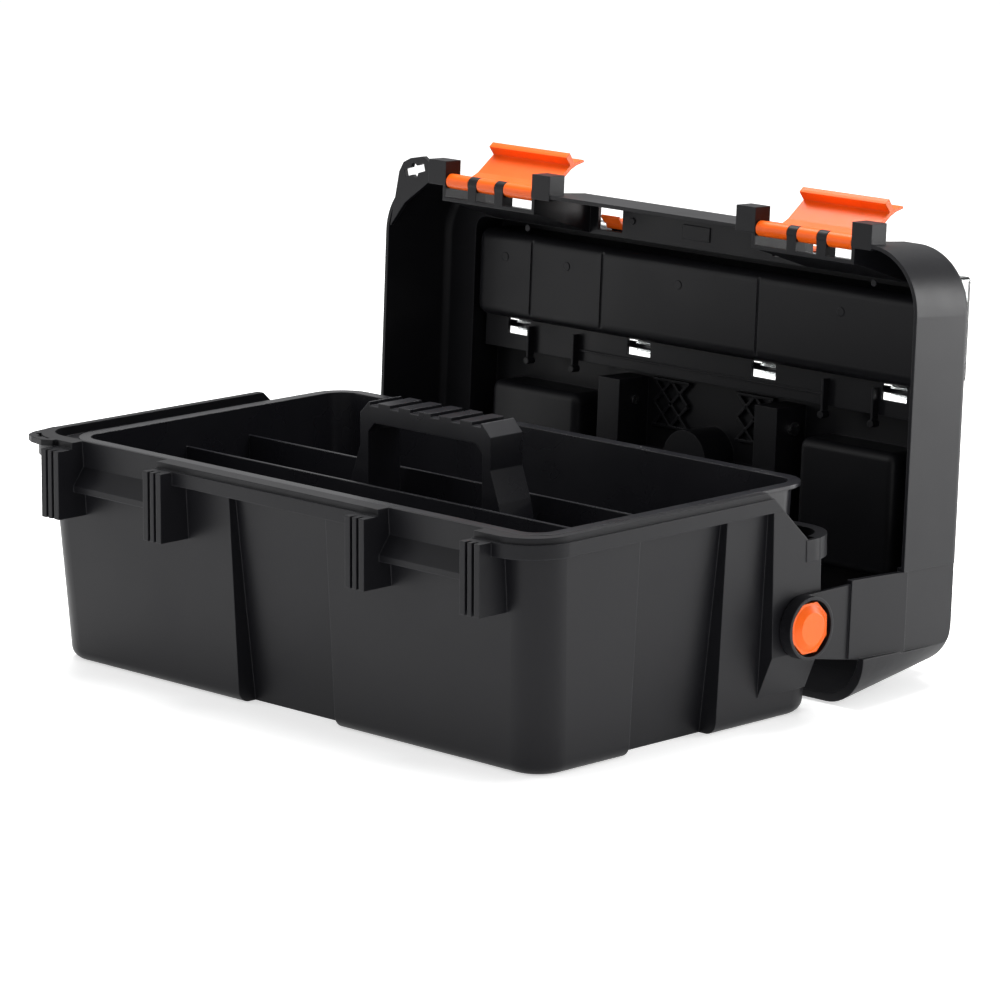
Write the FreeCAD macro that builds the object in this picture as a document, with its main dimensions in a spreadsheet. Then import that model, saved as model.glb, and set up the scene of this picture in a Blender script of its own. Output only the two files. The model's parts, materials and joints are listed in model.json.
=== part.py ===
import FreeCAD, Part
import math
import os
import re
import Sketcher

# Toolbox with a lift-out tray, standing on its base with the lid swung open.
# Millimetres. Origin: middle of the base's underside. +X right, +Y to the rear, +Z up.
# The lid and all it carries are drawn closed, then turned about the pivots to the open rest pose.

doc = FreeCAD.newDocument("toolbox")

SIZES = [
    # base tub
    ("tub_length", 450, "length of the foot, corner to corner"),
    ("tub_front", -129, "front of the foot"),
    ("tub_rear", 125, "rear of the foot"),
    ("draft", 3.4, "lean of every tub wall, degrees"),
    ("tub_corner", 24, "corner radius in plan"),
    ("foot_radius", 9, "rounding between wall and floor"),
    ("tub_wall", 2.6, "thickness of the tub's walls and floor"),
    ("rim_top", 153, "top of the base"),
    ("band_low", "=rim_top - 13", "underside of the rim band"),
    ("band_step", "=rim_top - 4", "top of the band's outer step"),
    ("band_inset", 2, "how far the upper lip stands back"),
    ("rim_half", "=tub_length / 2 + 13.8", "half length over the rim band"),
    ("rim_front", "=tub_front - 20", "front of the rim band"),
    ("rim_rear", "=tub_rear + 12", "rear of the rim band"),
    ("rear_top", "=rim_top - 35.5", "top of the low rear rim"),
    ("rear_band_low", "=rear_top - 14", "underside of the low rear band"),
    ("cut_front", "=pivot_depth - 30.5", "where the side rim starts to slope down"),
    ("cut_rear", "=pivot_depth + 6.5", "where the slope meets the low rear rim"),
    ("recess_half", 45, "half width of the front recess"),
    ("recess_foot", 14.2, "depth of a wall recess at the foot"),
    ("recess_head", 5.5, "depth of a wall recess under the band"),
    ("side_recess_front", -49, "front end of the side recess"),
    ("side_recess_rear", 29.6, "rear end of the side recess"),
    # latch posts and catch lips
    ("bay_inner", 103, "inner side of a latch bay"),
    ("bay_outer", "=bay_inner + 84", "outer side of a latch bay"),
    ("post_width", 17, "width of a post and of a latch ear"),
    ("post_front", "=rim_front - 10", "front of the posts"),
    ("post_low", "=rim_top - 50", "foot of the posts"),
    ("post_top", "=rim_top - 4.5", "head of the posts"),
    ("slot_width", 2.4, "width of the slots in a post"),
    ("slot_depth", 5, "depth of the slots in a post"),
    ("catch_low", "=rim_top - 33", "lower edge of the catch lip"),
    ("catch_front", "=rim_front + 3", "front of the catch lip"),
    # tray
    ("tray_seat", "=rim_top - 6", "top of the ledge that the tray hangs on"),
    ("seat_half", "=rim_half - 23.8", "half length of the opening inside the ledge"),
    ("seat_front", "=rim_front + 28", "front of the opening inside the ledge"),
    ("seat_thickness", 2.5, "thickness of the ledge"),
    ("tray_gap", 1.2, "room between the tray and the ledge"),
    ("tray_rear", "=rim_rear - 16", "rear of the tray's wall under its flange"),
    ("tray_floor", "=tray_seat - 54", "underside of the tray's floor"),
    ("tray_wall", 2.2, "thickness of the tray"),
    ("tray_draft", 2.2, "lean of the tray's walls, degrees"),
    ("tray_corner", 19, "corner radius of the tray"),
    ("tray_flange", 6.5, "how far the tray's flange stands out"),
    ("tray_lip", 4, "height of the turned-down edge of the flange"),
    ("divider_front", -25, "front divider"),
    ("divider_rear", 32, "rear divider"),
    ("divider_top", "=tray_seat - 16.5", "top of the dividers"),
    ("tray_grip_top", "=tray_seat + 33.6", "top of the tray's handle"),
    ("tray_grip_thick", 13.6, "depth of the tray's handle bar"),
    ("tray_grip_half", 53, "half of the opening under the handle bar"),
    ("tray_grip_front", -7, "front of the tray's handle"),
    ("tray_grip_rear", 22, "rear of the tray's handle"),
    ("tray_leg", 7.5, "thickness of a handle leg"),
    ("tray_leg_foot", "=tray_grip_half + 24", "half length over the feet of the handle"),
    # lid
    ("lid_rim", "=rim_top + 0.6", "rim plane of the closed lid"),
    ("lid_half", "=rim_half + 6.2", "half length over the lid's rim"),
    ("lid_front", "=rim_front + 9", "front of the lid's rim"),
    ("lid_rear", "=rim_rear + 9", "rear of the lid at its rim plane"),
    ("lid_shoulder", "=lid_rim + 58.4", "top of the lid's walls"),
    ("lid_front_corner", 42, "corner radius at the front"),
    ("lid_rear_corner", 30, "corner radius at the rear"),
    ("lid_rear_draft", 9.5, "lean of the lid's rear wall, degrees"),
    ("lid_wall", 2.6, "thickness of the lid"),
    ("lid_edge", 7, "rounding between the lid's walls and its shoulder"),
    ("arm_front", "=pivot_depth - 25.5", "front edge of the side arms"),
    ("arm_rear", "=lid_rear - 25", "rear edge of the side arms' flat"),
    ("arm_inner", "=rim_half + 0.4", "inner face of the side arms"),
    ("arm_thick", 2.8, "thickness of the side arms"),
    ("skirt_low", "=rear_top - 2.5", "lower edge of the rear skirt"),
    ("pivot_depth", "=tub_rear - 31.5", "pivot behind the origin"),
    ("pivot_height", 62.8, "pivot above the floor"),
    ("boss_radius", "=pivot_head + 3", "outside of the pivot boss"),
    ("boss_recess", "=pivot_head + 0.9", "recess round the head of the pivot pin"),
    ("boss_face", "=arm_inner + arm_thick + 6", "outer face of the pivot boss"),
    ("lid_open", 92.6, "turn from closed to the open rest pose, degrees"),
    ("notch_front", "=lid_front + 12", "wall behind the latches at the rim"),
    ("notch_back", "=lid_front + 28.5", "wall behind the latches at the shoulder"),
    # organiser on top of the lid
    ("deck_half", "=lid_half - 31", "half length of the raised deck"),
    ("deck_front", "=lid_front + 28", "front of the raised deck"),
    ("deck_rear", "=lid_rear - 28", "rear of the raised deck"),
    ("deck_top", "=lid_shoulder + 26", "top of the raised deck"),
    ("deck_corner", 12, "corner radius of the raised deck"),
    ("bin_low", "=deck_top - 32", "underside of the bins"),
    ("bin_wall", 2.5, "thickness of the bins' walls and floors"),
    ("front_bin_round", 8, "rounding of the front bin's corners and underside"),
    ("rear_bin_round", 6, "rounding of the rear bins' corners and undersides"),
    ("bin_half", "=deck_half - 7", "half length of the front bin"),
    ("bin_front", "=deck_front + 10", "front of the front bin"),
    ("gutter_front", "=rod_front - 9.5", "front of the front hinge gutter"),
    ("gutter_rear", "=rod_front + 16", "rear of the front hinge gutter"),
    ("gutter_low", "=deck_top - 19.5", "underside of the hinge gutters"),
    ("rod_height", "=deck_top - 8", "height of the hinge rods"),
    ("rod_radius", 2.5, "radius of the hinge rods"),
    ("rod_front", "=deck_front + 78.5", "front rod's place"),
    ("rod_rear", "=deck_rear - 20", "rear rods' place"),
    ("rear_bin_inner", "=rear_bin_outer - 85", "inner end of a rear bin"),
    ("rear_bin_outer", "=deck_half - 26", "outer end of a rear bin"),
    ("rear_bin_front", "=rear_gutter_front - 84.5", "front of the rear bins"),
    ("rear_gutter_front", "=rod_rear - 9.5", "front of the rear hinge gutters"),
    ("rear_gutter_rear", "=rod_rear + 16", "rear of the rear hinge gutters"),
    ("trough_inner", 63, "inner side of a handle block"),
    ("trough_outer", "=trough_inner + 20", "outer side of a handle block"),
    ("trough_front", "=trough_rear - 88", "front of the handle blocks"),
    ("trough_rear", "=deck_rear - 42", "rear of the handle trough"),
    ("grip_trough_front", "=trough_rear - 40", "front of the trough under the grip"),
    ("scoop_radius", 19.5, "outside of the finger scoop"),
    ("scoop_depth", "=trough_rear - 42", "middle of the finger scoop"),
    # clear covers and clasps
    ("cover_thick", 2.2, "thickness of the clear covers"),
    ("cover_gap", 0.4, "room between a cover and the deck"),
    ("cover_skirt", 11, "height of a cover's turned-down edge"),
    ("hook_width", 18, "width of a cover's hinge hook"),
    ("hook_inner_pair", 58, "place of the inner pair of hooks"),
    ("hook_outer_pair", "=bin_half - 33", "place of the outer pair of hooks"),
    ("clasp_place", 81, "place of the cover clasps"),
    ("clasp_width", 17, "width of a cover clasp"),
    ("cover_back", 11.5, "how far a cover's plate ends before its rod"),
    # latches
    ("latch_depth", "=lid_front + 1", "latch hinge behind the origin"),
    ("latch_height", "=lid_rim + 4.9", "latch hinge above the floor, lid closed"),
    ("barrel_radius", 5.2, "radius of the latch barrel"),
    ("stub_radius", 3, "radius of the latch's hinge pin"),
    ("cradle_half", 4, "half width of the eyes between the stretches of the barrel"),
    ("cradle_inner", "=bay_inner + 32", "place of the inner eye"),
    ("cradle_outer", "=bay_outer - 26", "place of the outer eye"),
    ("latch_swing", 141.5, "turn from hooked to flipped open, degrees"),
    ("latch_half", "=(bay_outer - bay_inner) / 2 - 4.5", "half length of the latch plate"),
    # pins
    ("pivot_radius", 9, "shaft of a pivot pin"),
    ("pivot_head", 17.5, "head of a pivot pin, across corners"),
    ("running_fit", 0.06, "radial room in every hinge bore"),
    ("handle_pin_radius", 3, "steel pin of the carry handle"),
    ("handle_pin_depth", "=trough_rear - 73", "carry handle's pin behind the origin"),
    ("handle_pin_height", "=deck_top - 16", "carry handle's pin above the floor, lid closed"),
    ("handle_reach", "=trough_rear - handle_pin_depth - 20",
     "carry handle's pin to the middle of its grip"),
    ("handle_grip_depth", 22, "width of the carry handle's grip"),
    ("handle_arm", "=trough_outer - trough_inner - 9", "thickness of the carry handle's arms"),]

sizes = doc.addObject("Spreadsheet::Sheet", "Sizes")
for row, (alias, value, note) in enumerate(SIZES, start=1):
    sizes.set(f"A{row}", alias)
    sizes.setAlias(f"B{row}", alias)
    sizes.set(f"C{row}", note)
for row, (alias, value, note) in enumerate(SIZES, start=1):
    sizes.set(f"B{row}", str(value))
doc.recompute()

X = FreeCAD.Vector(1, 0, 0)
Z = FreeCAD.Vector(0, 0, 1)


def number(text):
    """The value of an expression in the names of the sheet."""
    return float(sizes.evalExpression(str(text)))


def bind(item, prop, text):
    """Bind a property to an expression in the names of the sheet."""
    item.setExpression(prop, re.sub(r"[a-z]\w*\b(?!\()", r"Sizes.\g<0>", str(text)))


def mirrored(text):
    """The same place on the other side of the middle plane."""
    return f"-({text})"


PLANES = {
    # sketch plane: rotation that lays the sketch's own XY on it, and its normal
    "XY": (FreeCAD.Rotation(), FreeCAD.Vector(0, 0, 1), "z"),
    "YZ": (FreeCAD.Rotation(1, 1, 1, 1), FreeCAD.Vector(1, 0, 0), "x"),
    "XZ": (FreeCAD.Rotation(X, 90), FreeCAD.Vector(0, 1, 0), "y"),
}


def outline(sketch, points):
    """A closed outline of straight lines, each corner tied to two expressions."""
    spots = [FreeCAD.Vector(number(a), number(b), 0) for a, b in points]
    count = len(spots)
    for i in range(count):
        sketch.addGeometry(Part.LineSegment(spots[i], spots[(i + 1) % count]))
    for i in range(count):
        sketch.addConstraint(Sketcher.Constraint("Coincident", i, 2, (i + 1) % count, 1))
    for i, (a, b) in enumerate(points):
        for kind, text, place in (("DistanceX", a, spots[i].x), ("DistanceY", b, spots[i].y)):
            index = sketch.addConstraint(Sketcher.Constraint(kind, i, 1, place))
            bind(sketch, f"Constraints[{index}]", text)


def prism(name, plane, points, start, end):
    """A straight prism: an outline on a plane, extruded along the plane's normal."""
    turn, normal, letter = PLANES[plane]
    sketch = doc.addObject("Sketcher::SketchObject", name + "_outline")
    sketch.Placement = FreeCAD.Placement(FreeCAD.Vector(), turn)
    outline(sketch, points)
    bind(sketch, f"Placement.Base.{letter}", start)
    item = doc.addObject("Part::Extrusion", name)
    item.Base = sketch
    item.DirMode = "Custom"
    item.Dir = normal
    item.Solid = True
    bind(item, "LengthFwd", f"({end}) - ({start})")
    return item


def box(name, x, y, z):
    """A box from three pairs of expressions, low and high."""
    item = doc.addObject("Part::Box", name)
    for letter, prop, (low, high) in zip("xyz", ("Length", "Width", "Height"), (x, y, z)):
        bind(item, prop, f"({high}) - ({low})")
        bind(item, f"Placement.Base.{letter}", low)
    return item


def rod(name, x, y, z, radius):
    """A cylinder along X between two expressions."""
    item = doc.addObject("Part::Cylinder", name)
    item.Placement.Rotation = FreeCAD.Rotation(FreeCAD.Vector(0, 1, 0), 90)
    bind(item, "Radius", radius)
    bind(item, "Height", f"({x[1]}) - ({x[0]})")
    for letter, text in zip("xyz", (x[0], y, z)):
        bind(item, f"Placement.Base.{letter}", text)
    return item


def upright(name, x, y, z, radius):
    """A cylinder along Z between two expressions."""
    item = doc.addObject("Part::Cylinder", name)
    bind(item, "Radius", radius)
    bind(item, "Height", f"({z[1]}) - ({z[0]})")
    for letter, text in zip("xyz", (x, y, z[0])):
        bind(item, f"Placement.Base.{letter}", text)
    return item


def fuse(name, items):
    item = doc.addObject("Part::MultiFuse", name)
    item.Shapes = items
    return item


def cut(name, base, tools):
    item = doc.addObject("Part::Cut", name)
    item.Base = base
    item.Tool = tools[0] if len(tools) == 1 else fuse(name + "_tools", tools)
    return item


def common(name, items):
    item = doc.addObject("Part::MultiCommon", name)
    item.Shapes = items
    return item


def edge_names(shape, wanted):
    return [f"Edge{i}" for i, edge in enumerate(shape.Edges, start=1) if wanted(edge)]


def is_upright(edge):
    a, b = edge.Vertexes[0].Point, edge.Vertexes[-1].Point
    return abs(b.z - a.z) > 0.8 * edge.Length


def lies_at(height):
    return lambda edge: all(abs(v.Z - height) < 1e-4 for v in edge.Vertexes)


def rounded_block(name, x, y, z, corner, taper="0", foot=None, head=None):
    """A moulded block: padded rectangle with leaning walls, rounded corners and edges."""
    body = doc.addObject("PartDesign::Body", name)
    plane = [f for f in body.Origin.OriginFeatures if f.Role == "XY_Plane"][0]
    sketch = body.newObject("Sketcher::SketchObject", name + "_plan")
    sketch.AttachmentSupport = [(plane, "")]
    sketch.MapMode = "FlatFace"
    outline(sketch, [(x[0], y[0]), (x[1], y[0]), (x[1], y[1]), (x[0], y[1])])
    bind(body, "Placement.Base.z", z[0])
    pad = body.newObject("PartDesign::Pad", name + "_pad")
    pad.Profile = sketch
    bind(pad, "Length", f"({z[1]}) - ({z[0]})")
    bind(pad, "TaperAngle", taper)
    doc.recompute()
    base = pad
    steps = [("corners", corner, is_upright)]
    if foot:
        steps.append(("foot", foot, lies_at(0)))
    if head:
        steps.append(("head", head, lies_at(number(z[1]) - number(z[0]))))
    for step, radius, wanted in steps:
        shape = base.Shape.copy()
        shape.Placement = FreeCAD.Placement()
        fillet = body.newObject("PartDesign::Fillet", f"{name}_{step}")
        fillet.Base = (base, edge_names(shape, wanted))
        bind(fillet, "Radius", radius)
        doc.recompute()
        base = fillet
    body.Tip = base
    return body


def both_sides(make, name, *args):
    """The right-hand item and its mirror image."""
    right = make(name + "_right", *args)
    left = doc.addObject("Part::Mirroring", name + "_left")
    left.Source = right
    left.Normal = X
    return [right, left]


nodes = {}


def node(name, item, turn=FreeCAD.Placement()):
    """Name a finished sub-part. A turn swings it from its drawn place to its rest place."""
    item.Label = name
    nodes[name] = (item, turn)


def wall_at(face, height, sign):
    """Where a leaning tub wall stands at a height; sign +1 leans towards plus, -1 towards minus."""
    return f"{face} + {sign} * ({height}) * tan(draft)"


def recess_profile(face, sign, grow):
    """Wedge that sets a wall panel back: deeper at the foot than under the band."""
    into = -sign
    foot = f"{face} + {into} * (recess_foot + {grow})"
    head = f"{wall_at(face, 'band_low', sign)} + {into} * (recess_head + {grow})"
    outside = f"{face} + {sign} * 60"
    top = f"band_low + {grow}"
    return [(foot, "-1"), (head, top), (outside, top), (outside, "-1")]


def recesses(prefix, grow):
    """The four wall recesses of the tub, or the same grown inwards by a wall for the cavity."""
    half = f"recess_half + {grow}"
    items = [
        prism(prefix + "_front", "YZ", recess_profile("tub_front", -1, grow), mirrored(half), half),
        prism(prefix + "_rear", "YZ", recess_profile("tub_rear", 1, grow), mirrored(half), half),
    ]
    start = f"side_recess_front - {grow}"
    end = f"side_recess_rear + {grow}"
    profile = recess_profile("tub_length / 2", 1, grow)
    return items + both_sides(prism, prefix + "_side", "XZ", profile, start, end)


def plate_profile(inset):
    """Upright plate that carries a pivot, standing proud of the leaning side wall."""
    out = f"rim_half - 0.4 - {inset}"
    inner = f"tub_length / 2 - 12 - {inset}"
    top = "rim_top + 5"
    return [(inner, "18"), ("tub_length / 2 + 1.2 - " + inset, "18"), (out, "46"), (out, top), (inner, top)]


def rim_ring(name, inset, low, high):
    """A block over the whole rim, standing back from the band's outside by an inset."""
    x = (f"-(rim_half - {inset})", f"rim_half - {inset}")
    y = (f"rim_front + {inset}", f"rim_rear - {inset}")
    return rounded_block(name, x, y, (low, high), f"tub_corner + 8 - {inset}")


# --- base tub: one moulding with a rim band, wall recesses, posts and pivot plates ---

tub_x = ("-tub_length / 2", "tub_length / 2")
tub_y = ("tub_front", "tub_rear")
tub_outer = rounded_block("tub_outer", tub_x, tub_y, ("0", "rim_top"), "tub_corner", "draft", "foot_radius")

cavity_x = ("-(tub_length / 2 - tub_wall)", "tub_length / 2 - tub_wall")
cavity_y = ("tub_front + tub_wall", "tub_rear - tub_wall")
cavity_block = rounded_block(
    "cavity_block", cavity_x, cavity_y, ("tub_wall", "rim_top + 20"), "tub_corner - tub_wall", "draft",
    "foot_radius - 2"
)

body_block = cut("body_block", tub_outer, recesses("recess", "0"))
plate_run = ("cut_front + 4", "cut_rear + 12")
plate_inner_run = ("cut_front + 4 + tub_wall", "cut_rear + 12 - tub_wall")
plates = both_sides(prism, "pivot_plate", "XZ", plate_profile("0"), *plate_run)
plate_hollows = both_sides(prism, "pivot_plate_hollow", "XZ", plate_profile("tub_wall"), *plate_inner_run)
cavity = fuse("cavity", [cut("cavity_body", cavity_block,
                             recesses("cavity_recess", "tub_wall"))] + plate_hollows)

band = fuse("band", [
    rim_ring("band_outer", "0", "band_low", "band_step"),
    rim_ring("band_lip", "band_inset", "band_step", "rim_top"),
])
band_channel = cut("band_channel", rim_ring("band_hollow", "band_inset + 0.6", "band_low - 1",
                                            "band_step - 1"), [
    rounded_block("band_core", tub_x, tub_y, ("0", "rim_top + 1"), "tub_corner", "draft"),
])
bay_face = [
    ("tub_front - 60", "90"), (wall_at("tub_front", "90", -1), "90"),
    (wall_at("tub_front", "rim_top + 5", -1), "rim_top + 5"), ("tub_front - 60", "rim_top + 5"),
]
bays = both_sides(prism, "latch_bay", "YZ", bay_face, "bay_inner", "bay_outer")
upper_band = cut("upper_band", band, [band_channel] + bays)

rear_band = cut("rear_band", rim_ring("rear_band_block", "0", "rear_band_low", "rear_top"), [
    box("rear_band_front", ("-300", "300"), ("-200", "cut_rear - 2"), ("0", "300")),
])

slope = [
    ("-300", "rim_top + 10"), ("-300", "rim_top"), ("cut_front", "rim_top"), ("cut_rear", "rear_top"),
    ("rim_rear + 20", "rear_top"), ("rim_rear + 20", "rim_top + 10"),
]
above_slope = prism("above_slope", "YZ", slope, "-300", "300")


def post(name, inner):
    """A latch post: an upright bar with two slots down its front."""
    outer = f"{inner} + post_width"
    block = box(name + "_bar", (inner, outer), ("post_front", "tub_front - 4"), ("post_low", "post_top"))
    slots = []
    for place in (1, 2):
        middle = f"{inner} + post_width * {place} / 3"
        run = (f"{middle} - slot_width / 2", f"{middle} + slot_width / 2")
        depth = ("post_front - 1", "post_front + slot_depth")
        slots.append(box(f"{name}_slot_{place}", run, depth, ("post_low - 1", "post_top + 1")))
    return cut(name, block, slots)


posts = both_sides(post, "inner_post", "bay_inner - post_width")
posts += both_sides(post, "outer_post", "bay_outer")

lip = "catch_low + 4"
catch_profile = [
    (wall_at("tub_front", "catch_low + 17", -1) + " + 1", "catch_low + 17"), ("catch_front", lip),
    ("catch_front", "catch_low"), ("catch_front + 2.6", "catch_low"),
    ("catch_front + 2.6", "catch_low + 2.6"),
    (wall_at("tub_front", "catch_low + 12", -1) + " + 1", "catch_low + 13"),
]
catches = both_sides(prism, "catch_lip", "YZ", catch_profile, "bay_inner - 1", "bay_outer + 1")

seat = cut("tray_ledge", rounded_block(
    "ledge_block", ("-(tub_length / 2 + 7)", "tub_length / 2 + 7"), ("tub_front - 7", "tub_rear + 7"),
    ("tray_seat - seat_thickness", "tray_seat"), "tub_corner + 6"
), [rounded_block(
    "ledge_opening", ("-seat_half", "seat_half"), ("seat_front", "tub_rear + 60"),
    ("tray_seat - 20", "tray_seat + 20"), "tray_corner + 2"
)])

eye_plan = [
    ("-rim_half + 1", "rim_front + 30"), ("-rim_half + 5", "rim_front + 8"),
    ("-rim_half + 9", "rim_front + 1"),
    ("-rim_half + 16", "rim_front - 2.5"), ("-bay_outer - post_width - 6", "rim_front - 5"),
    ("-bay_outer - post_width + 1", "rim_front - 1"), ("-bay_outer - post_width + 1", "rim_front + 24"),
]
SLOT_TURN = math.radians(-17)
SLOT = [(-10, -2.6), (-3, -2.6), (-1.2, -5.2), (1.2, -5.2), (3, -2.6), (10, -2.6),
        (10, 2.6), (3, 2.6), (1.2, 5.2), (-1.2, 5.2), (-3, 2.6), (-10, 2.6)]


def cross_slot(name, low, high):
    """Cross-shaped padlock slot, turned to follow the slanting edge of both padlock eyes."""
    c, s = math.cos(SLOT_TURN), math.sin(SLOT_TURN)
    corners = [
        (f"-rim_half + 20.5 + {a * c - b * s:.3f}", f"rim_front + 5.5 + {a * s + b * c:.3f}") for a,
        b in SLOT
    ]
    return prism(name, "XY", corners, low, high)


eye_plate = prism("base_eye_plate", "XY", eye_plan, "band_step", "rim_top")
base_eye = cut("base_eye", eye_plate, [cross_slot("base_eye_slot", "band_step - 1", "rim_top + 1")])

shell = fuse("tub_shell", [body_block, upper_band, base_eye] + plates)
hollow_tub = cut("hollow_tub", shell, [cavity])
with_ledge = fuse("tub_with_ledge", [hollow_tub, seat])
low_tub = cut("tub_below_slope", with_ledge, [above_slope])
rear_rim = cut("rear_rim", rear_band, [cavity])
pivot_bosses = both_sides(
    rod, "pivot_sleeve", ("rim_half - 8", "rim_half - 0.4"), "pivot_depth", "pivot_height",
    "pivot_radius + 4"
)
pivot_bores = both_sides(
    rod, "pivot_bore", ("rim_half - 20", "rim_half + 5"), "pivot_depth", "pivot_height",
    "pivot_radius + running_fit"
)
whole_tub = fuse("whole_tub", [low_tub, rear_rim] + posts + catches + pivot_bosses)
node("base_tub", cut("bored_tub", whole_tub, pivot_bores))

# --- lift-out tray: hangs by its flange on the tub's ledge, with its own arched handle ---

tray_top = "tray_seat + 0.3"
tray_half = "seat_half - tray_gap"
tray_front = "seat_front + tray_gap"
tray_deep = "(tray_seat + 0.3 - tray_floor) * tan(tray_draft)"


def tray_block(name, inset, low, high):
    """The tray's body drawn from its floor up, its walls leaning out to meet the flange."""
    x = (f"-({tray_half} - {tray_deep} - {inset})", f"{tray_half} - {tray_deep} - {inset}")
    y = (f"{tray_front} + {tray_deep} + {inset}", f"tray_rear - {tray_deep} - {inset}")
    return rounded_block(name, x, y, (low, high), f"tray_corner - {tray_deep} - {inset}", "tray_draft", "5")


def flange_block(name, inset, low, high):
    x = (f"-({tray_half} + tray_flange - {inset})", f"{tray_half} + tray_flange - {inset}")
    y = (f"{tray_front} - tray_flange + {inset}", f"tray_rear + tray_flange - {inset}")
    return rounded_block(name, x, y, (low, high), f"tray_corner + tray_flange - {inset}")


rim_plate = flange_block("flange_plate", "0", tray_top, "tray_seat + 2.8")
tray_body = tray_block("tray_body", "0", "tray_floor", "tray_seat + 2.8")
tray_cavity = tray_block("tray_cavity", "tray_wall", "tray_floor + tray_wall", "tray_seat + 30")
tray_open = cut("tray_open", fuse("tray_blank", [tray_body, rim_plate]), [tray_cavity])
inside = (f"-({tray_half} - 1)", f"{tray_half} - 1")
dividers = [
    box(f"tray_{place}", inside, (f"{place} - tray_wall / 2", f"{place} + tray_wall / 2"),
        ("tray_floor + 1", "divider_top"))
    for place in ("divider_front", "divider_rear")
]
tray_fill = tray_block("tray_fill", "1", "tray_floor + 1", "tray_seat + 1")
held_dividers = common("held_dividers", [fuse("divider_pair", dividers), tray_fill])

grip_low = "tray_grip_top - tray_grip_thick"
shoulder = "tray_grip_half + tray_leg"
arch = [
    ("-tray_leg_foot", "tray_floor + 1"), ("-(tray_leg_foot - 9)", "divider_top"),
    (f"-({shoulder})", "tray_seat + 4"), (f"-({shoulder})", "tray_grip_top - 8"),
    (f"-({shoulder} - 8)", "tray_grip_top"),
    (f"{shoulder} - 8", "tray_grip_top"), (shoulder, "tray_grip_top - 8"), (shoulder, "tray_seat + 4"),
    ("tray_leg_foot - 9", "divider_top"), ("tray_leg_foot", "tray_floor + 1"),
    ("tray_grip_half", "tray_floor + 1"), ("tray_grip_half", f"{grip_low} - 6"),
    ("tray_grip_half - 6", grip_low), ("-(tray_grip_half - 6)", grip_low),
    ("-tray_grip_half", f"{grip_low} - 6"), ("-tray_grip_half", "tray_floor + 1"),
]
grip_arch = prism("tray_arch", "XZ", arch, "tray_grip_front", "tray_grip_rear")
grip_slots = [
    box(f"grip_slot_{place}", (f"{place} - 4", f"{place} + 4"),
        ("tray_grip_front - 1", "tray_grip_rear + 1"),
        ("tray_grip_top - 2.5", "tray_grip_top + 1"))
    for place in ("-47.5", "-28.5", "-9.5", "9.5", "28.5", "47.5")
]
tray_handle = cut("tray_handle", grip_arch, grip_slots)
node("lift_out_tray", fuse("whole_tray", [tray_open, held_dividers, tray_handle]))

# --- lid shell: walls and shoulder, raised organiser deck, side arms and rear skirt ---

def lid_plan(height, inset):
    """Reach of the lid's walls along X and Y at a height."""
    rise = f"({height} - lid_rim)"
    side = f"({rise} * tan(draft) + {inset})"
    rear = f"({rise} * tan(lid_rear_draft) + {inset})"
    x = (f"-(lid_half - {side})", f"lid_half - {side}")
    y = (f"lid_front + {side}", f"lid_rear - {rear}")
    return x, y


def rounded_plan(name, x, y, z, front_radius, rear_radius):
    """Rounded rectangle with larger corners at the front, for a loft."""
    sketch = doc.addObject("Sketcher::SketchObject", name)
    bind(sketch, "Placement.Base.z", z)
    x0, x1, y0, y1 = (number(v) for v in (*x, *y))
    front, rear = number(front_radius), number(rear_radius)
    corners = [(x0, y0, front, 180), (x1, y0, front, 270), (x1, y1, rear, 0), (x0, y1, rear, 90)]
    arcs = []
    for cx, cy, radius, start in corners:
        middle = FreeCAD.Vector(
            cx + math.copysign(radius, -cx), cy + (radius if cy == y0 else -radius), 0
        )
        circle = Part.Circle(middle, Z, radius)
        arcs.append(Part.ArcOfCircle(circle, math.radians(start), math.radians(start + 90)))
    for i, arc in enumerate(arcs):
        sketch.addGeometry(arc)
        sketch.addGeometry(Part.LineSegment(arc.EndPoint, arcs[(i + 1) % 4].StartPoint))
    for i in range(4):
        sketch.addConstraint(Sketcher.Constraint("Tangent", 2 * i, 2, 2 * i + 1, 1))
        sketch.addConstraint(Sketcher.Constraint("Tangent", 2 * i + 1, 2, (2 * i + 2) % 8, 1))
    for line, kind in ((1, "Horizontal"), (5, "Horizontal"), (3, "Vertical"), (7, "Vertical")):
        sketch.addConstraint(Sketcher.Constraint(kind, line))
    for line, kind, text, value in (
        (1, "DistanceY", y[0], y0), (5, "DistanceY", y[1], y1), (3, "DistanceX", x[1], x1),
        (7, "DistanceX", x[0], x0),
    ):
        index = sketch.addConstraint(Sketcher.Constraint(kind, line, 1, value))
        bind(sketch, f"Constraints[{index}]", text)
    for arc, text, value in ((0, front_radius, front), (4, rear_radius, rear)):
        index = sketch.addConstraint(Sketcher.Constraint("Radius", arc, value))
        bind(sketch, f"Constraints[{index}]", text)
    sketch.addConstraint(Sketcher.Constraint("Equal", 0, 2))
    sketch.addConstraint(Sketcher.Constraint("Equal", 4, 6))
    return sketch


def lid_block(name, inset, low, high):
    """The lid's walls as a block with leaning sides between two heights."""
    plans = []
    for end, height in (("low", low), ("high", high)):
        x, y = lid_plan(height, inset)
        plans.append(rounded_plan(
            f"{name}_{end}", x, y, height, f"lid_front_corner - {inset}", f"lid_rear_corner - {inset}"
        ))
    item = doc.addObject("Part::Loft", name)
    item.Sections = plans
    item.Solid = True
    item.Ruled = True
    return item


def softened(name, base, radius, wanted):
    """Round the edges of an item that the test picks."""
    doc.recompute()
    item = doc.addObject("Part::Fillet", name)
    item.Base = base
    value = number(radius)
    item.Edges = [
        (i, value, value) for i, edge in enumerate(base.Shape.Edges, start=1) if wanted(edge)
    ]
    return item


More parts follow.
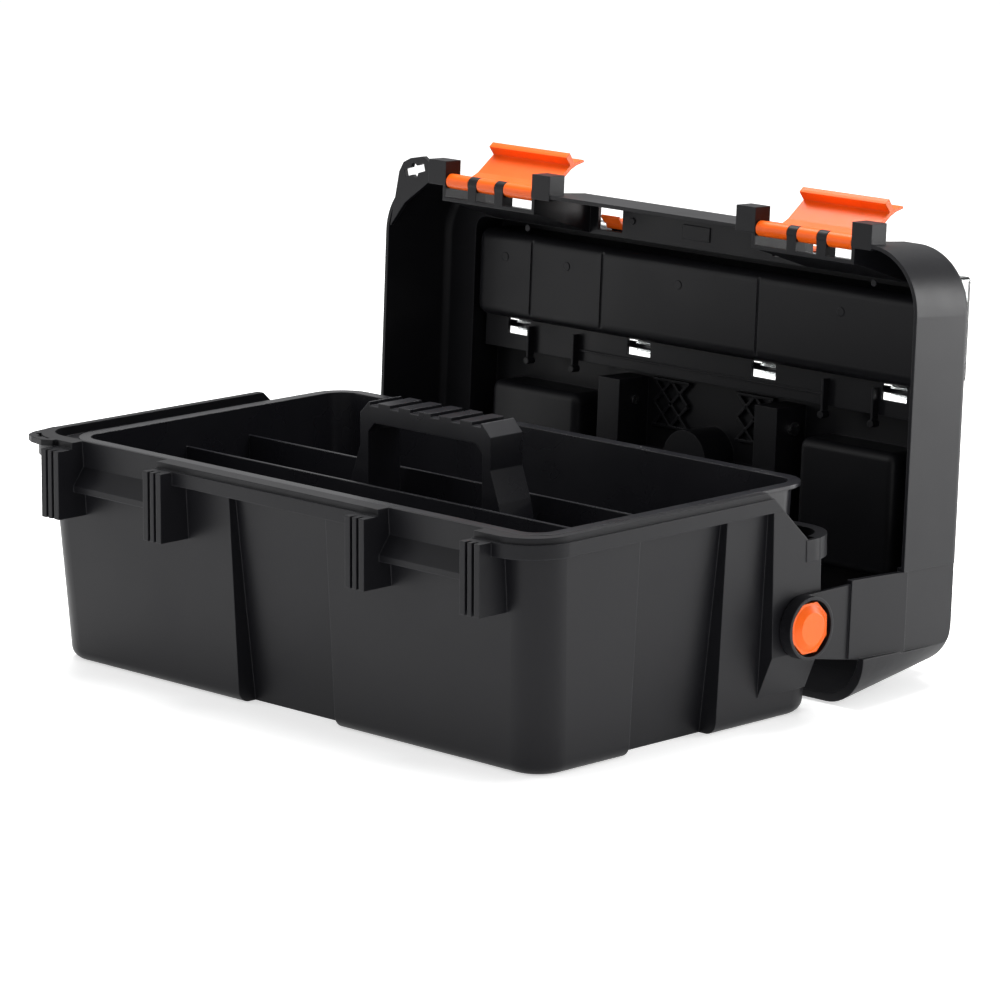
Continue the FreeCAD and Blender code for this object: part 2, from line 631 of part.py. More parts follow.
def notch_profile(grow):
    """Pocket behind a latch: its wall slopes back from the rim to the shoulder."""
    back = f"notch_back + {grow}"
    front = f"notch_front + {grow}"
    return [
        ("lid_front - 30", "lid_rim - 2"), (front, "lid_rim - 2"), (front, "lid_rim + 3"),
        (back, "lid_shoulder"), (back, "lid_shoulder + 2"), ("lid_front - 30", "lid_shoulder + 2"),
    ]


def deck_block(name, inset, low, high):
    x = (f"-(deck_half - {inset})", f"deck_half - {inset}")
    y = (f"deck_front + {inset}", f"deck_rear - {inset}")
    return rounded_block(name, x, y, (low, high), f"deck_corner - {inset}")


lid_outer = softened(
    "lid_outer", lid_block("lid_walls", "0", "lid_rim", "lid_shoulder"), "lid_edge",
    lies_at(number("lid_shoulder"))
)
lid_inner = softened(
    "lid_inner", lid_block("lid_hollow", "lid_wall", "lid_rim - 6", "lid_shoulder - lid_wall"),
    "lid_edge - 2",
    lies_at(number("lid_shoulder - lid_wall")),
)


def panel_profile(inset):
    """Side panel above an arm: it stands back from the lid's main side wall and leans the same way."""
    out = f"arm_inner + arm_thick - {inset}"
    lean = "(lid_shoulder + 4 - lid_rim) * tan(draft)"
    return [(out, "lid_rim - 6"), (out, "lid_rim"), (f"{out} - {lean}", "lid_shoulder + 4"),
            ("lid_half + 20", "lid_shoulder + 4"), ("lid_half + 20", "lid_rim - 6")]


panels = both_sides(prism, "side_panel", "XZ", panel_profile("0"), "arm_front", "arm_rear")
panel_backs = both_sides(
    prism, "panel_back", "XZ", panel_profile("arm_thick"), "arm_front - lid_wall", "arm_rear + lid_wall"
)
notches = both_sides(prism, "latch_notch", "YZ", notch_profile("0"), "bay_inner", "bay_outer")
notch_backs = both_sides(
    prism, "notch_back", "YZ", notch_profile("lid_wall"), "bay_inner - lid_wall", "bay_outer + lid_wall"
)
lid_body = fuse("lid_body", [
    cut("lid_notched", lid_outer, notches + panels), deck_block("deck", "0", "bin_low", "deck_top"),
])
lid_cavity = fuse("lid_cavity", [
    cut("lid_room", lid_inner, notch_backs + panel_backs),
    deck_block("deck_room", "lid_wall", "bin_low - 6", "deck_top - lid_wall"),
])
thin_lid = cut("thin_lid", lid_body, [lid_cavity])


def pocket(name, x, y, low, rounding=None):
    """Walls and floor of a bin that dips from the deck, and the space inside it."""
    room_x = (f"{x[0]} + bin_wall", f"{x[1]} - bin_wall")
    room_y = (f"{y[0]} + bin_wall", f"{y[1]} - bin_wall")
    room_z = (f"{low} + bin_wall", "deck_top + 1")
    if rounding is None:
        return box(name + "_walls", x, y, (low, "deck_top")), box(name + "_space", room_x, room_y, room_z)
    room_round = f"{rounding} - bin_wall"
    walls = rounded_block(
        name + "_walls", x, y, (low, "deck_top"), f"{rounding} + 0.5", "0", rounding
    )
    space = rounded_block(name + "_space", room_x, room_y, room_z, f"{room_round} + 0.5", "0", room_round)
    return walls, space


def rear_bin(name):
    run = ("rear_bin_front", "rear_gutter_front")
    return pocket(name, ("rear_bin_inner", "rear_bin_outer"), run, "bin_low", "rear_bin_round")


def rear_gutter(name):
    run = ("rear_gutter_front - bin_wall", "rear_gutter_rear")
    return pocket(name, ("rear_bin_inner", "rear_bin_outer"), run, "gutter_low")


def handle_block(name):
    return pocket(name, ("trough_inner", "trough_outer"), ("trough_front", "trough_rear"), "bin_low")


def paired(make, name):
    """Walls and spaces of a pocket on both sides."""
    walls, space = make(name)
    out = []
    for item in (walls, space):
        left = doc.addObject("Part::Mirroring", item.Name + "_left")
        left.Source = item
        left.Normal = X
        out.append([item, left])
    return out


full = ("-bin_half", "bin_half")
front_run = ("bin_front", "gutter_front + bin_wall")
front_walls, front_space = pocket("front_bin", full, front_run, "bin_low", "front_bin_round")
gutter_walls, gutter_space = pocket("front_gutter", full, ("gutter_front", "gutter_rear"), "gutter_low")
grip_walls, grip_space = pocket(
    "grip_trough", ("-trough_outer", "trough_outer"), ("grip_trough_front", "trough_rear"), "bin_low"
)
scoop_walls = upright("scoop_walls", "0", "scoop_depth", ("bin_low", "deck_top"), "scoop_radius")
scoop_space = upright("scoop_space", "0", "scoop_depth", ("bin_low + bin_wall", "deck_top + 1"),
                      "scoop_radius - bin_wall")
pocket_walls = [front_walls, gutter_walls, grip_walls, scoop_walls]
pocket_spaces = [front_space, gutter_space, grip_space, scoop_space]
for make, name in ((rear_bin, "rear_bin"), (rear_gutter, "rear_gutter"), (handle_block, "handle_block")):
    walls, spaces = paired(make, name)
    pocket_walls += walls
    pocket_spaces += spaces

# partitions of the front bin, each with a groove under it where its two skins meet
PARTITIONS = ("-152", "-84", "61")
partitions = [
    common(f"partition_{i}", [front_walls, box(
        f"partition_{i}_plate", (f"{place} - bin_wall / 2", f"{place} + bin_wall / 2"),
        ("bin_front", "gutter_front + 1"), ("bin_low + 1", "deck_top - 2"),
    )])
    for i, place in enumerate(PARTITIONS)
]
grooves = [
    box(f"groove_{i}", (f"{place} - 1.2", f"{place} + 1.2"),
        ("bin_front - 1", "gutter_front + bin_wall + 1"),
        ("bin_low - 1", "bin_low + 1"))
    for i, place in enumerate(PARTITIONS)
]

# windows in the gutter floors, one under each hinge hook, and slots for the clasps in the shoulder
HOOKS = ("hook_inner_pair", "hook_outer_pair")
windows = []
for place in HOOKS:
    run = (f"{place} - hook_width / 2 - 2", f"{place} + hook_width / 2 + 2")
    windows += both_sides(box, f"window_{place}", run, ("rod_front - 5.5", "rod_front + 5.5"),
                          ("gutter_low - 1", "gutter_low + bin_wall + 1"))
clasp_run = ("clasp_place - clasp_width / 2 - 3", "clasp_place + clasp_width / 2 + 3")
windows += both_sides(box, "clasp_slot", clasp_run, ("deck_front - 21", "deck_front - 1"),
                      ("lid_shoulder - 12", "lid_shoulder + 1"))

# side arms with the pivot bosses
arm_side = [
    ("arm_front", "lid_rim + 6"), ("pivot_depth - boss_radius", "pivot_height"),
    ("pivot_depth + boss_radius", "pivot_height"), ("arm_rear", "skirt_low"), ("arm_rear", "lid_rim + 6"),
]
arm_run = ("arm_inner", "arm_inner + arm_thick")
arms = both_sides(prism, "side_arm", "YZ", arm_side, *arm_run)
upper_arm_side = [
    ("arm_front", "lid_rim + 6"), ("arm_front", "skirt_low - 10"), ("arm_rear - 2", "skirt_low - 10"),
    ("arm_rear", "skirt_low"), ("arm_rear", "lid_rim + 6"),
]
upper_arms = both_sides(prism, "upper_arm", "YZ", upper_arm_side, "arm_inner",
                        "arm_inner + arm_thick + 1.4")
bosses = both_sides(rod, "pivot_boss", ("arm_inner", "boss_face"), "pivot_depth", "pivot_height",
                    "boss_radius")
boss_hollows = both_sides(
    rod, "boss_hollow", ("arm_inner + arm_thick + 1", "boss_face + 5"), "pivot_depth", "pivot_height",
    "boss_recess"
)
arm_bores = both_sides(
    rod, "arm_bore", ("arm_inner - 5", "boss_face + 5"), "pivot_depth", "pivot_height",
    "pivot_radius + running_fit"
)

# rear skirt: the lid's rear wall carried down over the tub's low rear rim
skirt_outer = lid_block("skirt_outer", "0", "skirt_low", "lid_rim + 1")
skirt_inner = lid_block("skirt_inner", "lid_wall + 2.2", "skirt_low - 1", "lid_rim + 2")
skirt_ring = cut("skirt_ring", skirt_outer, [skirt_inner])
skirt_reach = box("skirt_reach", ("-300", "300"), ("arm_rear - 1", "300"), ("0", "300"))
skirt = common("rear_skirt", [skirt_ring, skirt_reach])

# latch ears, the cradles under the barrels and the padlock eye
ear_y = ("post_front + 6", "notch_front - 8")
ear_z = ("lid_rim - 0.4", "lid_rim + 14")


def ears(name, inner):
    return box(name, (inner, f"{inner} + post_width"), ear_y, ear_z)


def cradle(name, place):
    """An eye between two stretches of the latch barrel, on a rib from the wall behind."""
    run = (f"{place} - cradle_half", f"{place} + cradle_half")
    eye = rod(name + "_eye", run, "latch_depth", "latch_height", "barrel_radius")
    rib = box(name + "_rib", run, ("latch_depth", "notch_front + 1.5"),
              ("latch_height - 5", "latch_height + 5"))
    return fuse(name, [eye, rib])


ear_items = both_sides(ears, "inner_ear", "bay_inner - post_width")
ear_items += both_sides(ears, "outer_ear", "bay_outer")
cradles = both_sides(cradle, "inner_cradle", "cradle_inner")
cradles += both_sides(cradle, "outer_cradle", "cradle_outer")
stub_bores = both_sides(
    rod, "stub_bore", ("bay_inner - 9", "bay_outer + 9"), "latch_depth", "latch_height",
    "stub_radius + running_fit"
)
lid_eye_plate = prism("lid_eye_plate", "XY", eye_plan[:-1] + [
    ("-bay_outer - post_width + 2", "lid_front + 2"), ("-(lid_half - 18)", "lid_front + 20"),
    ("-(lid_half - 4)", "lid_front + 38"),
], "lid_rim", "lid_rim + 3.2")
lid_eye = cut("lid_eye", lid_eye_plate, [cross_slot("lid_eye_slot", "lid_rim - 1", "lid_rim + 5")])

# seats for the rods that the covers' hooks turn on: pockets in the gutters' ends and thin webs
seat = "rod_radius + 0.02"
rod_seats = [rod("front_seat", ("-bin_half + 0.8", "bin_half - 0.8"), "rod_front", "rod_height", seat)]
rod_seats += both_sides(
    rod, "rear_seat", ("rear_bin_inner + 0.8", "rear_bin_outer - 0.8"), "rod_rear", "rod_height", seat
)


def web(name, x, y):
    return box(name, (f"{x} - 1.2", f"{x} + 1.2"), (f"{y} - 1.5", f"{y} + 1.5"),
               ("gutter_low + 1", "rod_height"))


webs = [web("middle_web", "0", "rod_front")] + both_sides(web, "outer_web", "116", "rod_front")
webs += both_sides(web, "rear_web", "(rear_bin_inner + rear_bin_outer) / 2", "rod_rear")

# stops that the clasps press against, and bores for the handle's pins
clasp_stops = both_sides(
    box, "clasp_stop", ("clasp_place - 6", "clasp_place + 6"), ("deck_front - 2.2", "deck_front + 1"),
    ("lid_shoulder + 5", "lid_shoulder + 7.5"),
)
pin_bores = both_sides(
    rod, "pin_bore", ("trough_inner - 3", "trough_outer + 3"), "handle_pin_depth", "handle_pin_height",
    "handle_pin_radius + running_fit",
)

walled = fuse("walled_lid", [thin_lid] + pocket_walls + arms + upper_arms + bosses + [skirt])
holes = pocket_spaces + grooves + windows + boss_hollows + arm_bores + pin_bores
emptied = cut("emptied_lid", walled, holes)
fitted = fuse("fitted_lid", [emptied, lid_eye] + webs + partitions + clasp_stops + ear_items + cradles)
lid_shell = cut("bored_lid", fitted, stub_bores + rod_seats)

PIVOT = FreeCAD.Vector(0, number("pivot_depth"), number("pivot_height"))
LATCH = FreeCAD.Vector(0, number("latch_depth"), number("latch_height"))
lid_turn = FreeCAD.Placement(FreeCAD.Vector(), FreeCAD.Rotation(X, -number("lid_open")), PIVOT)
latch_turn = FreeCAD.Placement(FreeCAD.Vector(), FreeCAD.Rotation(X, -number("latch_swing")), LATCH)
node("lid_shell", lid_shell, lid_turn)
node("hinge_rod_front", rod("front_rod", ("-bin_half + 1", "bin_half - 1"), "rod_front", "rod_height",
                            "rod_radius"), lid_turn)
rear_rods = both_sides(
    rod, "rear_rod", ("rear_bin_inner + 1", "rear_bin_outer - 1"), "rod_rear", "rod_height", "rod_radius"
)
for side, item in zip(("right", "left"), rear_rods):
    node(f"hinge_rod_{side}", item, lid_turn)

# --- clear covers: flat plates with turned-down edges, clipped on the rods by hooks ---

cover_low = "deck_top + cover_gap"
cover_high = "deck_top + cover_gap + cover_thick"


def hook(name, place, depth):
    """A snap hook: a ring round the rod, open below, on a neck under the cover's rear edge."""
    run = (f"{place} - hook_width / 2", f"{place} + hook_width / 2")
    ring = rod(name + "_ring", run, depth, "rod_height", "rod_radius + 2.4")
    neck = box(name + "_neck", run, (f"{depth} - 2.4", f"{depth} + 2.4"), ("rod_height + 2", cover_high))
    arm = box(name + "_arm", run, (f"{depth} - cover_back - 1", depth), (cover_low, cover_high))
    bore = rod(name + "_bore", (f"{place} - 20", f"{place} + 20"), depth, "rod_height",
               "rod_radius + running_fit")
    mouth = box(name + "_mouth", (f"{place} - 20", f"{place} + 20"), (f"{depth} - 1.9", f"{depth} + 1.9"),
                ("rod_height - 8", "rod_height"))
    return cut(name, fuse(name + "_blank", [ring, neck, arm]), [bore, mouth])


cover_out = "deck_half + cover_gap + cover_thick"
cover_front = "deck_front - cover_gap - cover_thick"
lid_of_bin = rounded_block(
    "front_cover_plate", (f"-({cover_out})", cover_out), (cover_front, "rod_front - cover_back"),
    (f"{cover_high} - cover_skirt", cover_high), "2.5", "0", None, "1.5",
)
under_cover = box(
    "under_front_cover", ("-(deck_half + cover_gap)", "deck_half + cover_gap"),
    ("deck_front - cover_gap", "rod_front + 30"), (f"{cover_high} - cover_skirt - 1", cover_low),
)
front_skin = cut("front_cover_skin", lid_of_bin, [under_cover])
front_hooks = []
for place in HOOKS:
    front_hooks += both_sides(hook, f"hook_{place}", place, "rod_front")
clasp_axis_y = f"{cover_front} - 2.6"
clasp_axis_z = "deck_top"


def clasp_ear(name, place):
    ear = box(name + "_ear", (place, f"{place} + 2.4"), (f"{clasp_axis_y} - 2.4", f"{cover_front} + 1"),
              (f"{clasp_axis_z} - 3", cover_high))
    hole = rod(name + "_hole", (f"{place} - 3", f"{place} + 6"), clasp_axis_y, clasp_axis_z,
               "1.2 + running_fit")
    return cut(name, ear, [hole])


clasp_ears = both_sides(clasp_ear, "inner_clasp_ear", "clasp_place - clasp_width / 2 - 2.8")
clasp_ears += both_sides(clasp_ear, "outer_clasp_ear", "clasp_place + clasp_width / 2 + 0.4")
node("front_bin_cover", fuse("front_cover", [front_skin] + front_hooks + clasp_ears), lid_turn)


def rear_cover(name):
    """Cover of a rear bin: a plate with a plug lip, hooked on the rear rod."""
    plate = box(name + "_plate", ("rear_bin_inner - 2", "rear_bin_outer + 2"),
                ("rear_bin_front - 3", "rod_rear - cover_back"), (cover_low, cover_high))
    lip_x = ("rear_bin_inner + rear_bin_round + 0.5", "rear_bin_outer - rear_bin_round - 0.5")
    lip_y = "rear_bin_front + bin_wall"
    lip = box(name + "_lip", lip_x, (f"{lip_y} + 0.6", f"{lip_y} + 0.6 + cover_thick"),
              ("deck_top - 4", cover_high))
    tab = box(name + "_tab", ("rear_bin_inner + 30", "rear_bin_outer - 30"),
              ("rear_bin_front - 9", "rear_bin_front"), (cover_low, cover_high))
    near = hook(name + "_near_hook", "rear_bin_inner + 18", "rod_rear")
    far = hook(name + "_far_hook", "rear_bin_outer - 18", "rod_rear")
    return fuse(name, [plate, lip, tab, near, far])


for side, item in zip(("right", "left"), both_sides(rear_cover, "rear_cover")):
    node(f"rear_bin_cover_{side}", item, lid_turn)


# --- cover clasps: a plate on a barrel between the cover's ears, with a finger tab ---

def clasp(name):
    run = ("clasp_place - clasp_width / 2", "clasp_place + clasp_width / 2")
    barrel = rod(name + "_barrel", run, clasp_axis_y, clasp_axis_z, "2.3")
    stub = rod(name + "_stub", ("clasp_place - clasp_width / 2 - 2.6",
                                "clasp_place + clasp_width / 2 + 2.6"),
               clasp_axis_y, clasp_axis_z, "1.2")
    y, low = clasp_axis_y, "lid_shoulder"
    side = [
        (f"{y} - 2.3", clasp_axis_z), (f"{y} - 2.3", f"{low} + 1"), (f"{y} - 6.3", f"{low} - 2.5"),
        (f"{y} - 5", f"{low} - 3.6"), (f"{y} - 0.3", f"{low} + 0.4"), (f"{y} - 0.3", f"{low} + 1.6"),
        (f"{y} + 3.4", f"{low} + 3"), (f"{y} + 3.4", f"{low} + 4.7"), (f"{y} - 0.3", f"{low} + 4.7"),
        (f"{y} - 0.3", clasp_axis_z),
    ]
    return fuse(name, [barrel, stub, prism(name + "_plate", "YZ", side, *run)])


for side, item in zip(("right", "left"), both_sides(clasp, "clasp")):
    node(f"cover_clasp_{side}", item, lid_turn)


# --- latches: one extruded profile with a barrel, a hook lip and a finger flange ---

def latch(name):
    middle = "(bay_inner + bay_outer) / 2"
    barrel = rod(name + "_barrel", ("bay_inner + 0.6", "bay_outer - 0.6"), "latch_depth", "latch_height",
                 "barrel_radius")
    stubs = rod(name + "_stubs", ("bay_inner - 8", "bay_outer + 8"), "latch_depth", "latch_height",
                "stub_radius")
    hook_top = "catch_low - 0.7 - latch_height"
    places = [
        ("-4.8", "1.5"), ("-9.4", "-9"), ("-12", "-20"), ("-12.2", f"{hook_top} + 0.5"),
        ("-13.5", f"{hook_top} - 5"), ("-16.5", f"{hook_top} - 11.8"), ("-14.8", f"{hook_top} - 12.1"),
        ("-10.5", f"{hook_top} - 4.2"), ("-2", f"{hook_top} - 4.6"), ("-2", f"{hook_top} - 2"),
        ("-2.2", hook_top), ("-9.4", hook_top), ("-9.4", "-20.5"), ("-6.9", "-10"), ("-2.5", "-2"),
    ]
    side = [(f"latch_depth + {a}", f"latch_height + {b}") for a, b in places]
    plate = prism(name + "_plate", "YZ", side, f"{middle} - latch_half", f"{middle} + latch_half")
    gaps = [
        rod(f"{name}_gap_{place}", (f"{place} - cradle_half - 0.5", f"{place} + cradle_half + 0.5"),
            "latch_depth", "latch_height", "barrel_radius + 3")
        for place in ("cradle_inner", "cradle_outer")
    ]
    return fuse(name, [cut(name + "_plate_and_barrel", fuse(name + "_blank", [barrel, plate]), gaps),
                       stubs])


for side, item in zip(("right", "left"), both_sides(latch, "latch")):
    node(f"latch_{side}", item, lid_turn * latch_turn)


# --- pivot pins: a shaft with a snap end inside the tub and an eight-sided domed head ---

def pivot_pin(name):
    y, z = "pivot_depth", "pivot_height"
    head_start = "arm_inner + arm_thick + 1.3"
    shaft = rod(name + "_shaft", ("rim_half - 10", f"{head_start} + 1"), y, z, "pivot_radius")
    snap = rod(name + "_snap", ("rim_half - 12", "rim_half - 8.3"), y, z, "pivot_radius + 1.4")
    flats = [
        (f"{y} + pivot_head * cos({22.5 + 45 * k})",
         f"{z} + pivot_head * sin({22.5 + 45 * k})") for k in range(8)
    ]
    head = prism(name + "_head", "YZ", flats, head_start, f"{head_start} + 3")
    dome = doc.addObject("Part::Cone", name + "_dome")
    dome.Placement.Rotation = FreeCAD.Rotation(FreeCAD.Vector(0, 1, 0), 90)
    for prop, text in (("Radius1", "pivot_head * 0.86"), ("Radius2", "pivot_head * 0.6"), ("Height", "3"),
                       ("Placement.Base.x", f"{head_start} + 3"), ("Placement.Base.y", y),
                       ("Placement.Base.z", z)):
        bind(dome, prop, text)
    return fuse(name, [shaft, snap, head, dome])


for side, item in zip(("right", "left"), both_sides(pivot_pin, "pin")):
    node(f"pivot_pin_{side}", item)


# --- carry handle, folded back into its recess, and its two steel pins ---

def handle_arm_item(name):
    middle = "(trough_inner + trough_outer) / 2"
    run = (f"{middle} - handle_arm / 2", f"{middle} + handle_arm / 2")
    hub = rod(name + "_hub", run, "handle_pin_depth", "handle_pin_height", "handle_pin_radius + 4")
    bar = box(name + "_bar", run, ("handle_pin_depth", "handle_pin_depth + handle_reach"),
              ("handle_pin_height - 6", "handle_pin_height + 6.5"))
    return fuse(name, [hub, bar])


grip_end = "(trough_inner + trough_outer + handle_arm) / 2"
grip_y = ("handle_pin_depth + handle_reach - handle_grip_depth / 2",
          "handle_pin_depth + handle_reach + handle_grip_depth / 2")
grip_bar = softened(
    "grip_bar", box("grip_block", (f"-{grip_end}", grip_end), grip_y,
                    ("handle_pin_height - 9", "handle_pin_height + 11")), "7",
    lambda edge: abs(edge.Vertexes[0].X - edge.Vertexes[-1].X) > 0.8 * edge.Length,
)
handle_blank = fuse("handle_blank", [grip_bar] + both_sides(handle_arm_item, "arm"))
handle_bores = both_sides(
    rod, "arm_pin_bore", ("trough_inner - 3", "trough_outer + 3"), "handle_pin_depth", "handle_pin_height",
    "handle_pin_radius + running_fit",
)
node("carry_handle", cut("handle", handle_blank, handle_bores), lid_turn)


def handle_pin(name):
    y, z = "handle_pin_depth", "handle_pin_height"
    shaft = rod(name + "_shaft", ("trough_inner - 1.5", "trough_outer + 2"), y, z, "handle_pin_radius")
    head = rod(name + "_head", ("trough_outer + 0.1", "trough_outer + 2.4"), y, z,
               "handle_pin_radius + 1.7")
    return fuse(name, [shaft, head])


for side, item in zip(("right", "left"), both_sides(handle_pin, "steel_pin")):
    node(f"handle_pin_{side}", item, lid_turn)


# --- check every object, then write one file for each sub-part, the lid's own in the open pose ---

doc.recompute()
for item in doc.Objects:
    if {"Invalid", "Error"} & set(item.State):
        raise RuntimeError(f"{item.Label} is {item.State}")
os.makedirs("parts", exist_ok=True)
for name, (item, turn) in nodes.items():
    shape = item.Shape.copy()
    if shape.isNull() or not shape.isValid():
        raise RuntimeError(f"{name} has no valid shape")
    shape.Placement = turn * shape.Placement
    shape.exportStep(f"parts/{name}.step")
    print(name, len(shape.Solids), round(shape.Volume))
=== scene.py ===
import math

import bmesh
import bpy
from mathutils import Matrix, Vector
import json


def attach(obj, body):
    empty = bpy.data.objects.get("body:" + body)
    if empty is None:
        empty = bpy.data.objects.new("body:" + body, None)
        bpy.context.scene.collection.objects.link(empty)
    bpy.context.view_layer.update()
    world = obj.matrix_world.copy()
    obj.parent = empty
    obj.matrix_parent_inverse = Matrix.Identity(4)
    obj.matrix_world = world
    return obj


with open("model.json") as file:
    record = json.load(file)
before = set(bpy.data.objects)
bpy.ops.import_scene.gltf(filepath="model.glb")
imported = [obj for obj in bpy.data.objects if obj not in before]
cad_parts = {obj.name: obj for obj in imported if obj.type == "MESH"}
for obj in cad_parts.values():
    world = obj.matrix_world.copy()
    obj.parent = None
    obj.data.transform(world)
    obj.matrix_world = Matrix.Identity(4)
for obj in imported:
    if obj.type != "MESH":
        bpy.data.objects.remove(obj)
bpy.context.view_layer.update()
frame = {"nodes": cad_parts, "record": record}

# The studio: a white paper sheet under the box with a weak glow of its own, a large soft box overhead, a
# weak strip at the left, and a strip behind at the right that draws the bright edges of black plastic.
SENSOR_MM, FRAMES_AWAY, FARTHEST = 36, 5.21087, 30
camera_place = (2.374925, -2.311946, 0.821388)
yaw, pitch, roll = 0.785536, 0.207974, 0.0042919
camera = bpy.data.objects.new("camera", bpy.data.cameras.new("camera"))
camera.data.lens = FRAMES_AWAY * SENSOR_MM
camera.data.sensor_width = SENSOR_MM
camera.data.clip_end = FARTHEST
camera.matrix_world = (
    Matrix.Translation(camera_place)
    @ Matrix.Rotation(yaw, 4, "Z")
    @ Matrix.Rotation(math.pi / 2 - pitch, 4, "X")
    @ Matrix.Rotation(roll, 4, "Z")
)
bpy.context.collection.objects.link(camera)
bpy.context.scene.camera = camera


def from_hex(text):
    """Linear colour of an sRGB hex value."""
    parts = [int(text[i:i + 2], 16) / 255 for i in (1, 3, 5)]
    return [c / 12.92 if c <= 0.04045 else ((c + 0.055) / 1.055) ** 2.4 for c in parts] + [1.0]


def add(material, kind, inputs=(), **settings):
    """Add a node to a material with its settings; inputs maps a socket to a value or to another socket."""
    node = material.node_tree.nodes.new(kind)
    for key, value in settings.items():
        setattr(node, key, value)
    for key, value in dict(inputs).items():
        if isinstance(value, bpy.types.NodeSocket):
            material.node_tree.links.new(value, node.inputs[key])
        else:
            node.inputs[key].default_value = value
    return node


def new_material(name):
    """An empty node material."""
    material = bpy.data.materials.new(name)
    material.use_nodes = True
    material.node_tree.nodes.clear()
    return material


def finish_with(material, shader):
    """Join a shader to the material's output."""
    add(material, "ShaderNodeOutputMaterial", {"Surface": shader.outputs[0]})


PAPER_GLOW, SKY_STRENGTH, SHEET_HALF = 0.55, 0.5, 6

# matt white paper: no highlight of its own, and a weak glow that keeps it pale
paper = new_material("studio_paper_white")
finish_with(paper, add(paper, "ShaderNodeBsdfPrincipled", {
    "Base Color": from_hex("#f6f6f6"), "Roughness": 0.9, "Specular IOR Level": 0.1,
    "Emission Color": (1, 1, 1, 1), "Emission Strength": PAPER_GLOW}))
sweep = bmesh.new()
bmesh.ops.create_grid(sweep, x_segments=1, y_segments=1, size=SHEET_HALF)
sweep_mesh = bpy.data.meshes.new("paper_floor")
sweep.to_mesh(sweep_mesh)
sweep.free()
paper_floor = bpy.data.objects.new("paper_floor", sweep_mesh)
paper_floor.data.materials.append(paper)
bpy.context.collection.objects.link(paper_floor)

world = bpy.data.worlds.new("studio")
bpy.context.scene.world = world
world.use_nodes = True
world.node_tree.nodes["Background"].inputs["Color"].default_value = (1, 1, 1, 1)
world.node_tree.nodes["Background"].inputs["Strength"].default_value = SKY_STRENGTH
# Standard keeps black plastic black, where a filmic transform lifts it to grey
bpy.context.scene.view_settings.view_transform = "Standard"


def softbox(name, place, target, size, power):
    """A rectangular lamp in watts, turned to face a point."""
    lamp = bpy.data.lights.new(name, "AREA")
    lamp.shape = "RECTANGLE"
    lamp.size, lamp.size_y = size
    lamp.energy = power
    item = bpy.data.objects.new(name, lamp)
    item.location = place
    item.rotation_euler = (Vector(target) - Vector(place)).to_track_quat("-Z", "Y").to_euler()
    bpy.context.collection.objects.link(item)


softbox("overhead", (-0.3, 0.5, 1.7), (0, 0.05, 0.1), (1.5, 1.1), 48)
softbox("left_strip", (-1.5, -1.2, 0.7), (0, 0, 0.15), (0.5, 1.3), 5)
softbox("right_back_strip", (1.05, 1.7, 0.45), (0.25, 0.25, 0.2), (0.7, 0.9), 22)


# The tub: one deep injection moulding in black polypropylene, with a stiffened rim, four latch posts and a
# pivot plate at each end. Its tool was spark eroded, which leaves a fine satin grain, and the hot plastic
# has left slightly cloudy flow patches. Its rounded edges and corners are painted paler, partly as the
# rubbing of hands and floors and partly as a painted highlight where they catch the light.
EDGE_BREAKUP_MM, IOR_POLYPROPYLENE = 3.5, 1.49


